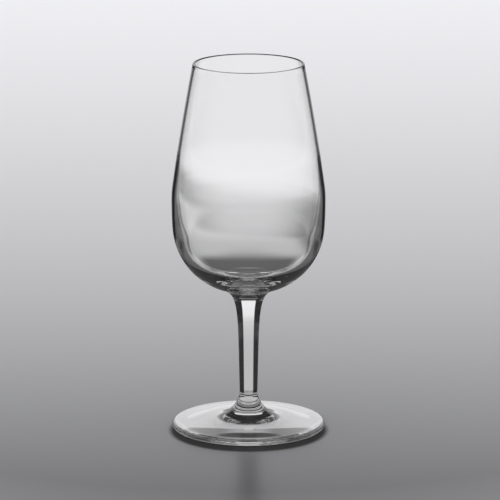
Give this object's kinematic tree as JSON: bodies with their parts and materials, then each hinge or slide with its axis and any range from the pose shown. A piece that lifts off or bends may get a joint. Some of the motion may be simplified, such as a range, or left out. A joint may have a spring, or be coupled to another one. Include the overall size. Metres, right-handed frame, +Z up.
{
  "type": "wine tasting glass",
  "caption": "Clear stemmed tasting glass: tulip bowl with tapering wall and narrow rim, short flared stem and round foot, for pouring, nosing and tasting wine.",
  "frame": {"origin": "centre of the foot, on the plane that the glass stands on", "axes": "+Z up along the axis that the bowl, stem and foot are turned about; +X and +Y are free, because the glass is round"},
  "size_m": [0.0642, 0.0642, 0.155],
  "materials": {
    "clear_glass": "clear, fire-polished"
  },
  "bodies": {
    "root": {"bowl": "clear_glass", "stem": "clear_glass", "foot": "clear_glass"}
  },
  "joints": []
}
